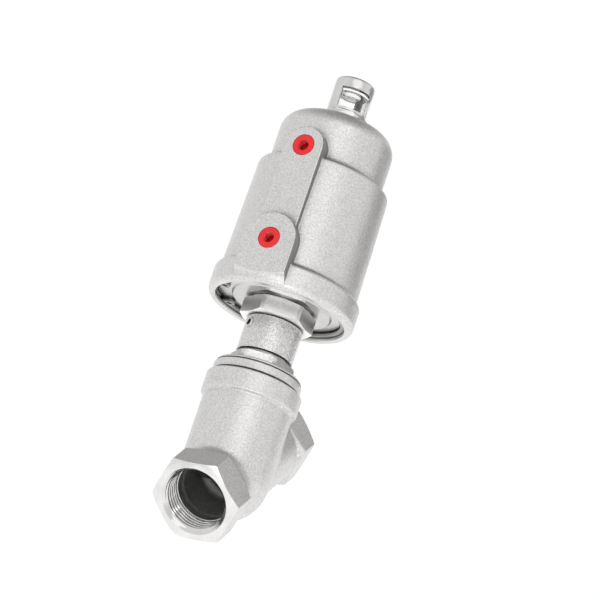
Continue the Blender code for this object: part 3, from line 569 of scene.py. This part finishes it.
def build_body():
    # The round casting first, with generous radii where the branch meets the run.
    bulb = [(BRANCH_R * math.cos(math.radians(a)), BRANCH_R * math.sin(math.radians(a)))
            for a in range(-6, -90, -6)]
    branch = [(0, BODY_TOP - 1), (BRANCH_R, BODY_TOP - 1), (BRANCH_R, 0)] + bulb + [(0, -BRANCH_R)]
    body = revolve("valve_casting", branch, FINE, STEM_FRAME, [CAST])
    run = revolve("run", [(0, 68.0), (16.2, 68.0), (16.2, 4.0), (0, 4.0)], FINE, PIPE_FRAME, [CAST])
    join(body, run)
    cast(body, 0.75, 22)
    # Then the hexagons and the collar, with tight radii.
    collar = [(0, BODY_TOP + 0.6), (COLLAR_R, BODY_TOP + 0.6), (COLLAR_R, 31.0), (BRANCH_R - 1.0, 29.6)]
    collar = revolve("collar", collar + [(0, 29.6)], FINE, STEM_FRAME, [CAST])
    join(body, hex_block("inlet_hex", -0.6, 14.0), hex_block("outlet_hex", OUTLET_X + 0.6, 60.5), collar)
    cast(body, 0.40, 5)

    # Machined surfaces.
    square = [(-30, -30), (30, -30), (30, 30), (-30, 30)]
    cut(body, prism("inlet_facing", square, -8, 0, PIPE_FRAME, [FACED_STEEL]))
    cut(body, prism("outlet_facing", square, OUTLET_X, OUTLET_X + 8, PIPE_FRAME, [FACED_STEEL]))
    cut(body, end_turning("inlet_chamfer", 0.0, 1), end_turning("outlet_chamfer", OUTLET_X, -1))
    spot = COLLAR_R + 0.3
    top = BODY_TOP + 8
    facing = [(0, top), (spot, top), (spot, BODY_TOP), (0, BODY_TOP)]
    cut(body, revolve("collar_facing", facing, FINE, STEM_FRAME, [TURNED_STEEL]))
    rim = [(24, BODY_TOP + 1), (24, BODY_TOP - 0.7), (COLLAR_R + 0.2, BODY_TOP - 0.7),
           (COLLAR_R - 0.7, BODY_TOP + 0.2), (COLLAR_R - 0.7, BODY_TOP + 1)]
    cut(body, revolve("collar_chamfer", rim, FINE, STEM_FRAME, [TURNED_STEEL]))
    chamber = [(0, BODY_TOP + 1), (13.5, BODY_TOP + 1), (13.5, 24.0), (15.0, 22.0, 1.5),
               (15.0, SEAT_H - 1.2, 2.0), (10.7, SEAT_H - 1.2, 0.4), (9.7, SEAT_H), (8.5, SEAT_H),
               (8.5, -5.0), (0, -5.0)]
    space = soften([(0, CROSS_X + 3), (11.5, CROSS_X + 3, 3.0), (11.5, 11.0), (0, 11.0)], 6)
    pocket = revolve("pocket", space, FINE, PIPE_FRAME, [CAST_INSIDE_SHADED])
    keep = SEAT_H - 3.7
    wall = [(-40, -40), (40, -40), (40, 40), (-40, 40)]
    cut(pocket, prism("keep_seat_wall", wall, keep, keep + 40, STEM_FRAME, [CAST_INSIDE_SHADED]))
    cut(body, revolve("chamber", soften(chamber), FINE, STEM_FRAME, [CAST_INSIDE_SHADED]), pocket)
    way = [(0, 67.0), (PASSAGE, 67.0), (PASSAGE, CROSS_X + 14), (0, CROSS_X + 14)]
    cut(body, revolve("outlet_way", way, FINE, PIPE_FRAME, [CAST_INSIDE_SHADED]))
    relief = [(0, 14.5), (13.0, 14.5), (13.0, 10.4), (0, 10.4)]
    cut(body, revolve("inlet_relief", relief, FINE, PIPE_FRAME, [CAST_INSIDE_SHADED]))
    cut(body, port_bore("inlet_thread", 0.0, 10.0, 1, 12.0, 0.8, 11.5))
    cut(body, port_bore("outlet_thread", OUTLET_X, 11.5, -1, PORT_MINOR, 0.0, PASSAGE))
    install(body, "body_and_neck", "cast_stainless", "valve_body")


# ------------------------------------------------------------------ bonnet and neck

BONNET_AF = 24.0
BONNET_TURN_DEG = -16.0
NUT_AF = 27.0
NUT_TURN_DEG = -4.0
WEEP_HOLE_DEG = -35.0
WEEP_HOLE_H = 62.5


def turned(name, profile, body, slot, material, node, segments=TURNED):
    piece = revolve(name, soften(profile), segments, STEM_FRAME, [material])
    return install(piece, body, slot, node)


def hex_piece(name, across_flats, turn_deg, low, high, turned_r, bore_r, material):
    """A nut: a hexagon turned to a chamfer at both faces, with fine edges and a bore."""
    nut = prism(name, hexagon(across_flats, turn_deg), low, high, STEM_FRAME, [material])
    edge = across_flats / 2 - 0.15
    drop = (turned_r - edge) * 0.5
    far = turned_r + 6
    shell = [(far, high + 1), (far, low - 1), (edge, low - 1), (edge, low), (turned_r, low + drop),
             (turned_r, high - drop * 0.2), (edge, high), (edge, high + 1)]
    cut(nut, revolve(name + "_shell", shell, TURNED, STEM_FRAME, [material]))
    washer = [(0, high + 0.7), (edge - 0.5, high + 0.7), (edge - 0.5, high - 1), (0, high - 1)]
    join(nut, revolve(name + "_face", washer, TURNED, STEM_FRAME, [material]))
    bore = [(0, high + 2), (bore_r, high + 2), (bore_r, low + 0.6), (bore_r + 1.6, low - 1), (0, low - 1)]
    cut(nut, revolve(name + "_bore", bore, TURNED, STEM_FRAME, [material]))
    return bevel(nut, 0.16, 2, 25.0)


def paint_facet_shade(obj, across_flats, corner_deg, other):
    """Painted shade: every second flat of a hexagon gets the darker copy of the steel, so that neighbouring flats
    read as lit and shaded.
    """
    obj.data.materials.append(other)
    slot = len(obj.data.materials) - 1
    for face in obj.data.polygons:
        where = TO_STEM @ face.center / MM
        normal = TO_STEM.to_3x3() @ face.normal
        # hexagon()'s first flat faces 210 degrees, before its own turn.
        turn = math.degrees(math.atan2(normal.y, normal.x)) - 210.0 - corner_deg
        on_flat = abs(normal.z) < 0.2 and abs(where.dot(normal) - across_flats / 2) < 0.1
        if on_flat and round(turn / 60.0) % 2:
            face.material_index = slot


def around_hexagon(name, ring_heights, width, core, core_heights, material):
    """A ring-shaped tool that leaves a hexagon standing inside it. The core is longer than the ring."""
    low, high = ring_heights
    ring = [(width, high), (width, low), (0.5, low), (0.5, high)]
    tool = revolve(name, ring, TURNED, STEM_FRAME, [material])
    return cut(tool, prism(name + "_core", core, *core_heights, STEM_FRAME, [material]))


def build_bonnet():
    profile = [(9.8, 50.0, 0.2), (12.9, 50.0, 0.3), (13.4, 49.5, 0.2), (13.4, 45.5), (17.2, 45.5, 0.6),
               (17.8, 44.9, 0.3), (17.8, 44.4), (17.5, 44.2), (17.8, 44.0), (18.3, 43.6, 0.4),
               (18.3, 40.3, 0.35), (13.2, 40.3), (13.2, 25.0), (12.2, 24.0), (4.3, 24.0),
               (4.3, 28.0), (6.8, 28.0), (6.8, 45.0), (9.8, 45.0)]
    bonnet = revolve("bonnet_casting", soften(profile), TURNED, STEM_FRAME, [CAST])
    core = hexagon(BONNET_AF, BONNET_TURN_DEG)
    cut(bonnet, around_hexagon("hex_cut", (45.45, 51), 19.5, core, (44, 53), HEX_STEEL))
    paint_facet_shade(bonnet, BONNET_AF, BONNET_TURN_DEG, SHADED_FACET_STEEL)
    install(bonnet, "body_and_neck", "turned_stainless", "bonnet")
    gasket = [(17.0, 40.2, 0.2), (17.0, 39.5, 0.2), (13.9, 39.5), (13.9, 40.2)]
    turned("body_gasket_ring", gasket, "body_and_neck", "ptfe", PTFE, "body_gasket")


def build_neck():
    profile = [(9.6, 86.0), (10.2, 85.4), (10.2, 66.1, 0.3), (11.65, 66.1, 0.35), (11.65, 51.7, 0.25),
               (10.4, 51.4, 0.1), (10.4, 50.4), (9.5, 50.4),
               (9.5, 47.1), (7.5, 47.1), (7.5, 73.0), (5.0, 73.0), (5.0, 75.0), (7.5, 75.0), (7.5, 86.0)]
    neck = revolve("neck", soften(profile), TURNED, STEM_FRAME, [NECK_STEEL])
    across = STEM_FRAME @ Matrix.Rotation(math.radians(WEEP_HOLE_DEG), 4, "Z")
    across = across @ Matrix.Translation((0, 0, WEEP_HOLE_H * MM))
    across = across @ Matrix.Rotation(math.radians(-90), 4, "Y")
    hole = [(0, 13.0), (1.3, 13.0), (1.3, 5.0), (0, 5.0)]
    cut(neck, revolve("weep", hole, 32, across, [THREAD_STEEL]))
    lip = [(2.2, 10.6), (2.2, 12.0, 0.25), (1.3, 12.1, 0.25), (1.3, 10.6)][::-1]
    join(neck, revolve("weep_lip", soften(lip)[::-1], 32, across, [POLISHED]))
    install(neck, "body_and_neck", "cast_stainless", "neck_tube")
    nut = hex_piece("neck_hex_nut", NUT_AF, NUT_TURN_DEG, 66.4, 73.4, 15.1, 10.5, NUT_STEEL)
    paint_facet_shade(nut, NUT_AF, NUT_TURN_DEG, SHADED_FACET_STEEL)
    install(nut, "body_and_neck", "turned_stainless", "neck_nut", angle_deg=25.0)


# ------------------------------------------------------------------ actuator

RIB_FACE = 29.0
BOSS_FACE = 31.75
UPPER_PORT_H = 133.4
LOWER_PORT_H = 90.8
AIR_PITCH = 0.907
AIR_BORE_R = 4.65
PLUG_HOLE_R = 2.05
INDICATOR_AF = 17.0
INDICATOR_TURN_DEG = -14.0
WINDOW_BOTTOM_H = 161.5
WINDOW_TOP_H = 170.4
WINDOWS = {"front_window": (-12.0, 104.0), "side_window": (116.0, 153.0), "rear_window": (187.0, 250.0)}


def face_slab(name, half_width, bottom, centre, face, back):
    outline = [(-half_width, bottom), (half_width, bottom)]
    for k in range(49):
        a = math.pi * k / 48
        outline.append((half_width * math.cos(a), centre + half_width * math.sin(a)))
    sideways = Matrix(((0, 0, 1, 0), (1, 0, 0, 0), (0, 1, 0, 0), (0, 0, 0, 1)))
    return prism(name, outline, -face, -back, STEM_FRAME @ sideways, [CAST])


def towards_port(height):
    return STEM_FRAME @ Matrix.Translation((0, 0, height * MM)) @ Matrix.Rotation(math.radians(-90), 4, "Y")


def air_port(name, face, height):
    depth = face - 5.5
    path = [(0, face + 1.5), (4.62, face + 1.5), (4.62, face - 0.2)]
    heights = steps_between(depth, face - 0.3, AIR_PITCH / 7)[::-1]
    path += [(AIR_BORE_R, h) for h in heights]
    path += [(2.2, depth - 1.2), (2.2, 15.0), (0, 15.0)]
    wave = thread_wave(AIR_PITCH, 0.35, depth, face)
    return revolve(name, path, 64, towards_port(height), [TURNED_STEEL],
                   lambda r, h, t: wave(r, h, t) if r == AIR_BORE_R else r)


def inner_corner(radius, height, fillet):
    """Profile points of a concave fillet between an upright wall and the ledge below it."""
    angles = [math.radians(180 + 90 * k / 6) for k in range(7)]
    return [(radius + fillet + fillet * math.cos(a), height + fillet + fillet * math.sin(a)) for a in angles]


def paint_ledge_shade(housing):
    """Painted shade: the narrow steps and side walls get a darker copy of the casting, chosen by which way each
    face points.
    """
    housing.data.materials.clear()
    housing.data.materials.append(CAST)
    housing.data.materials.append(CAST_SHADED)
    for face in housing.data.polygons:
        where = TO_STEM @ face.center / MM
        normal = TO_STEM.to_3x3() @ face.normal
        outward = Vector((where.x, where.y, 0)).normalized()
        on_side = 73.5 < where.z < 143.0 and normal.z > -0.3
        if on_side and normal.dot(outward) < 0.75:
            face.material_index = 1


def build_housing():
    fillet = [(15.65 + 8 * math.cos(math.radians(a)), 147.2 + 8 * math.sin(math.radians(a)))
              for a in range(90, -1, -6)]
    outside = [(0, 156.0), (9.7, 156.0), (10.3, 155.25)] + fillet
    outside += inner_corner(23.65, 131.0, 2.5)
    outside += [(26.6, 130.9), (27.1, 130.4), (27.3, 129.4)]
    outside += inner_corner(28.3, 83.0, 1.7)
    outside += [(29.8, 82.8), (30.4, 82.1), (30.4, 74.2), (29.9, 73.0), (29.0, 72.1), (0, 72.1)]
    housing = revolve("housing", outside, FINE, STEM_FRAME, [CAST])
    boss = face_slab("boss", 11.1, 72.3, LOWER_PORT_H, BOSS_FACE, 20.0)
    foot = [(0, 111), (40, 111), (40, 81.8), (33.6, 77.2), (BOSS_FACE, 75.9), (30.9, 74.8), (30.3, 73.2),
            (0, 73.2)]
    combine(boss, revolve("foot", foot, FINE, STEM_FRAME, [CAST]), "INTERSECT")
    join(housing, face_slab("rib", 8.25, 81.0, UPPER_PORT_H, RIB_FACE, 15.0), boss)
    cast(housing, 0.33, 2)
    paint_ledge_shade(housing)
    inside = [(0, 157), (5.3, 157), (5.3, 151.0), (19.5, 151.0), (21.0, 149.5), (21.0, 128.5),
              (25.0, 126.0), (25.0, 78.2), (26.85, 78.2), (26.85, 75.0), (27.7, 75.0), (27.7, 73.6),
              (26.85, 73.6), (26.85, 72.9), (27.6, 71.3), (0, 71.3)]
    cut(housing, revolve("cylinder_space", inside, FINE, STEM_FRAME, [TURNED_STEEL]))
    lip = [(0, 72.3), (34, 72.3), (34, 70), (0, 70)]
    cut(housing, revolve("lip_facing", lip, FINE, STEM_FRAME, [TURNED_STEEL]))
    cut(housing, air_port("upper", RIB_FACE, UPPER_PORT_H), air_port("lower", BOSS_FACE, LOWER_PORT_H))
    install(housing, "actuator", "cast_stainless", "actuator_housing")


def build_plate():
    plate = [(14.8, 82.1), (23.9, 82.1), (24.7, 81.3), (24.7, 80.9), (22.6, 80.9), (22.6, 78.9),
             (24.7, 78.9), (24.7, 77.9), (26.55, 77.9), (26.55, 75.3, 0.2), (20.9, 75.3, 0.3),
             (20.1, 74.3, 0.3), (10.5, 74.3), (10.5, 76.4), (11.9, 76.4), (11.9, 78.6), (10.5, 78.6),
             (10.5, 82.1)]
    turned("base_cover", plate, "actuator", "turned_stainless", PLATE_STEEL, "base_plate", segments=FINE)
    outline = []
    gap, middle, eye = 38.0, 104.0, 9.0  # degrees: the open part, where it is, and each eye
    start, span = middle + gap / 2, 360.0 - gap
    for k in range(161):
        a = math.radians(start + span * k / 160)
        outline.append((27.45 * math.cos(a), 27.45 * math.sin(a)))
    for k in range(321):
        degrees = start + span * (320 - k) / 320
        from_end = min(degrees - start, start + span - degrees)
        blend = min(1.0, max(0.0, (eye + 1.5 - from_end) / 3.0))
        blend = blend * blend * (3 - 2 * blend)
        radius = 25.0 + (22.6 - 25.0) * blend
        a = math.radians(degrees)
        outline.append((radius * math.cos(a), radius * math.sin(a)))
    snap = prism("retaining_ring", outline, 73.75, 74.85, STEM_FRAME, [SPRING])
    for eye_deg in (start + eye / 2, start + span - eye / 2):
        a = math.radians(eye_deg)
        at = STEM_FRAME @ Matrix.Translation((24.6 * math.cos(a) * MM, 24.6 * math.sin(a) * MM, 0))
        cut(snap, revolve("eye_hole", [(0, 76), (1.1, 76), (1.1, 73), (0, 73)], 24, at, [SPRING]))
    bevel(snap, 0.12, 2)
    install(snap, "actuator", "spring_steel", "snap_ring")


def sector(radius, start_deg, end_deg):
    """A slice of a disc, measured from the port side towards world -Y."""
    found = [(0, 0)]
    for k in range(25):
        a = math.radians(180 + start_deg + (end_deg - start_deg) * k / 24)
        found.append((radius * math.cos(a), radius * math.sin(a)))
    return found


def build_indicator():
    base = [(2.4, 161.2), (6.3, 161.2, 0.2), (6.3, 160.1), (9.1, 160.1, 0.2), (9.55, 159.7, 0.2),
            (9.55, 158.2, 0.2), (8.9, 157.9), (8.9, 156.1), (5.0, 156.1), (5.0, 151.3), (2.4, 151.3),
            (2.4, 153.0), (3.5, 153.0), (3.5, 154.8), (2.4, 154.8)]
    nut = revolve("indicator_hex", soften(base), TURNED, STEM_FRAME, [POLISHED])
    core = hexagon(INDICATOR_AF, INDICATOR_TURN_DEG)
    cut(nut, around_hexagon("indicator_flats", (157.9, 160.6), 11, core, (155, 163), POLISHED))
    install(nut, "actuator", "turned_stainless", "indicator_base")
    hood = [(0, 175.2), (8.2, 175.2, 1.3), (8.2, 160.4, 0.25), (7.4, 160.4), (7.4, 171.0), (0, 171.0)]
    cover = revolve("indicator_cover", soften(hood, 6), TURNED, STEM_FRAME, [POLISHED])
    for name, between in WINDOWS.items():
        opening = prism(name, sector(10.0, *between), WINDOW_BOTTOM_H, WINDOW_TOP_H, STEM_FRAME, [POLISHED])
        cut(cover, opening)
    bevel(cover, 0.12, 2, 40.0)
    install(cover, "actuator", "turned_stainless", "indicator_hood")
    cup = [(0, 170.7), (6.2, 170.7, 0.3), (7.2, 169.8, 0.4), (7.2, 161.5), (6.3, 161.5), (6.3, 169.2, 0.5),
           (3.6, 169.5, 0.2), (3.6, 168.9, 0.3), (2.9, 168.3, 0.3), (0, 168.3)]
    turned("sight_cup", cup, "actuator", "clear_plastic", CLEAR, "indicator_window")


# ------------------------------------------------------------------ plugs and moving stem


def build_plug(name, face, height, body, node):
    path = [(0, face - 3.6), (2.0, face - 3.6)]
    path += [(PLUG_HOLE_R, h) for h in steps_between(face - 3.5, face, 0.07)]
    path += [(2.6, face + 0.06), (2.72, face + 0.2), (4.3, face + 0.2, 0.15), (4.5, face - 0.1, 0.1),
             (4.5, face - 4.6), (0, face - 4.6)]
    wave = thread_wave(1.0, 0.75, face - 3.5, face + 0.6)
    plug = revolve(name, soften(path), 64, towards_port(height), [RED],
                   lambda r, h, t: wave(r, h, t) if r == PLUG_HOLE_R else r)
    install(plug, body, "red_plastic", node)


SPRING_LOW, SPRING_HIGH = 98.2, 150.8
WIRE_SIDES = 16
STEPS_PER_TURN = 48


def coil(name, mean_r, wire_r, turns):
    """A compression spring with a closed turn at each end, swept as one body."""
    low = SPRING_LOW + wire_r
    high = SPRING_HIGH - wire_r
    lead = 2 * wire_r + 0.1
    total = turns + 2
    count = int(total * STEPS_PER_TURN) + 1
    verts = []
    for k in range(count):
        turn = k / STEPS_PER_TURN
        if turn < 1:
            height = low + lead * turn
        elif turn > total - 1:
            height = high - lead * (total - turn)
        else:
            height = low + lead + (high - low - 2 * lead) * (turn - 1) / turns
        a = math.tau * turn
        for side in range(WIRE_SIDES):
            b = math.tau * side / WIRE_SIDES
            radius = mean_r + wire_r * math.cos(b)
            verts.append((radius * math.cos(a), radius * math.sin(a), height + wire_r * math.sin(b)))
    faces = [list(range(WIRE_SIDES)), [(count - 1) * WIRE_SIDES + side for side in range(WIRE_SIDES)][::-1]]
    for k in range(count - 1):
        for side in range(WIRE_SIDES):
            here = k * WIRE_SIDES
            along = (side + 1) % WIRE_SIDES
            faces.append([here + along, here + side, here + WIRE_SIDES + side, here + WIRE_SIDES + along])
    return new_object(name, verts, faces, STEM_FRAME, [SPRING])


def build_springs():
    for name, mean_r, wire_r, turns, node in (("outer_coil", 17.4, 1.6, 3.5, "outer_spring"),
                                              ("inner_coil", 12.0, 1.1, 4.5, "inner_spring")):
        spring = coil(name, mean_r, wire_r, turns)
        install(spring, "stem_and_piston", "spring_steel", node, angle_deg=60.0)
        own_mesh(spring)


build_body()
build_bonnet()
build_neck()
build_housing()
build_plate()
build_indicator()
build_springs()
build_plug("upper_plug_cap", RIB_FACE, UPPER_PORT_H, "upper_plug", "upper_port_plug")
build_plug("lower_plug_cap", BOSS_FACE, LOWER_PORT_H, "lower_plug", "lower_port_plug")

slot_of = {part["node"]: part["material_slot"] for part in frame["record"]["subparts"]}
for node, obj in frame["nodes"].items():
    obj.data.materials.clear()
    obj.data.materials.append(BY_SLOT[slot_of[node]])


# ------------------------------------------------------------------ stage, light and camera


MIDDLE = Vector((0.085, 0, 0.055))
KEY_POWER = 2.7
FRONT_POWER = 2.6
# How bright the sky is, from straight away from the key light (0) to straight towards it (1).
SKY = ((0.0, 0.95), (0.25, 0.85), (0.42, 0.90), (0.75, 0.92), (1.0, 0.82))
FLOOR_GLOW = 0.34
OVERHEAD = 0.32  # how bright the sky still is straight above the actuator
FLOOR_Z = -0.13
CARD_AWAY = 0.42
LIGHT_AIM = Vector((0.07, 0, 0.06))
CARD_DIRECTION = Vector((0.74, -0.55, -0.30)).normalized()
METRES = Matrix.Scale(1000, 4)  # lets prism, which counts in millimetres, draw in metres


def slab(name, half_x, half_y, thickness, at):
    outline = [(-half_x, -half_y), (half_x, -half_y), (half_x, half_y), (-half_x, half_y)]
    return prism(name, outline, -thickness, 0.0, at @ METRES)


def build_stage():
    floor = slab("floor", 3, 3, 0.02, Matrix.Translation((0, 0, FLOOR_Z)))
    n = Nodes("pale_floor")
    tint = n.mix_colour(n.noise(6.0), (0.93, 0.93, 0.93), (0.95, 0.95, 0.95))
    paint = n.set(Base_Color=tint, Roughness=0.9, Emission_Color=tint, Emission_Strength=FLOOR_GLOW)
    floor.data.materials.append(paint)
    # A grey card that only reflections see. It draws the dark edge down the right side of the steel.
    turn = (-CARD_DIRECTION).to_track_quat("Z", "Y").to_matrix().to_4x4()
    at = Matrix.Translation(MIDDLE + CARD_DIRECTION * CARD_AWAY) @ turn
    card = slab("grey_card", 0.16, 0.18, 0.002, at)
    n = Nodes("grey_card")
    grey = n.mix_colour(n.noise(9.0), (0.32, 0.32, 0.32), (0.36, 0.36, 0.36))
    card.data.materials.append(n.set(Base_Color=grey, Roughness=0.9))
    card.visible_camera = False
    card.visible_diffuse = False
    card.visible_shadow = False


def area_light(name, where, size, power):
    data = bpy.data.lights.new(name, "AREA")
    data.shape = "RECTANGLE"
    data.size, data.size_y = size
    data.energy = power
    lamp = bpy.data.objects.new(name, data)
    bpy.context.scene.collection.objects.link(lamp)
    lamp.location = where
    lamp.rotation_euler = (LIGHT_AIM - where).to_track_quat("-Z", "Y").to_euler()


AZIMUTH, ELEVATION, ROLL = (math.radians(a) for a in (295.42, 22.24, -0.11))
BACK = Vector((math.sin(AZIMUTH) * math.cos(ELEVATION), -math.cos(AZIMUTH) * math.cos(ELEVATION),
               math.sin(ELEVATION)))
RIGHT = Vector((math.cos(AZIMUTH), math.sin(AZIMUTH), 0))
UP = BACK.cross(RIGHT)
CAMERA_AWAY = 2.283


HIGH_FRONT = (BACK + STEM * 0.647 + RIGHT * 0.1).normalized()
LOW_FRONT = (BACK - Vector((0, 0, 0.22)) - RIGHT * 0.15).normalized()


def facing(tree, where, direction):
    """How far a direction of the sky lies towards another, from -1 to 1."""
    dot = tree.nodes.new("ShaderNodeVectorMath")
    dot.operation = "DOT_PRODUCT"
    dot.inputs[1].default_value = direction
    tree.links.new(where, dot.inputs[0])
    return dot.outputs["Value"]


def remapped(tree, value, from_low, from_high, to_low, to_high):
    node = tree.nodes.new("ShaderNodeMapRange")
    node.inputs["From Min"].default_value = from_low
    node.inputs["From Max"].default_value = from_high
    node.inputs["To Min"].default_value = to_low
    node.inputs["To Max"].default_value = to_high
    tree.links.new(value, node.inputs["Value"])
    return node.outputs["Result"]


def build_light():
    area_light("key", MIDDLE + HIGH_FRONT * 1.6, (1.3, 1.3), KEY_POWER)
    area_light("front", MIDDLE + LOW_FRONT * 1.5, (1.0, 0.5), FRONT_POWER)
    world = bpy.data.worlds.new("studio")
    bpy.context.scene.world = world
    world.use_nodes = True
    tree = world.node_tree
    where = tree.nodes.new("ShaderNodeTexCoord").outputs["Generated"]
    ramp = tree.nodes.new("ShaderNodeValToRGB")
    around = remapped(tree, facing(tree, where, HIGH_FRONT), -1.0, 1.0, 0.0, 1.0)
    tree.links.new(around, ramp.inputs["Fac"])
    while len(ramp.color_ramp.elements) < len(SKY):
        ramp.color_ramp.elements.new(0.5)
    for element, (position, level) in zip(ramp.color_ramp.elements, SKY):
        element.position = position
        element.color = (level, level * 0.995, level * 0.985, 1)
    fade = remapped(tree, facing(tree, where, STEM), 0.60, 0.95, 1.0, OVERHEAD)
    dimmed = tree.nodes.new("ShaderNodeVectorMath")
    dimmed.operation = "SCALE"
    tree.links.new(ramp.outputs["Color"], dimmed.inputs[0])
    tree.links.new(fade, dimmed.inputs["Scale"])
    tree.links.new(dimmed.outputs["Vector"], tree.nodes["Background"].inputs["Color"])


def build_camera():
    data = bpy.data.cameras.new("camera")
    data.sensor_width = 36.0
    data.lens = 342.5
    data.clip_end = 20.0
    data.clip_start = 0.05
    camera = bpy.data.objects.new("camera", data)
    bpy.context.scene.collection.objects.link(camera)
    aim = Vector((0.08475, -0.00595, 0.05492))
    right = RIGHT * math.cos(ROLL) + UP * math.sin(ROLL)
    up = UP * math.cos(ROLL) - RIGHT * math.sin(ROLL)
    turn = Matrix((right, up, BACK)).transposed().to_4x4()
    camera.matrix_world = Matrix.Translation(aim + BACK * CAMERA_AWAY) @ turn
    bpy.context.scene.camera = camera


build_stage()
build_light()
build_camera()
bpy.context.scene.view_settings.view_transform = "Standard"
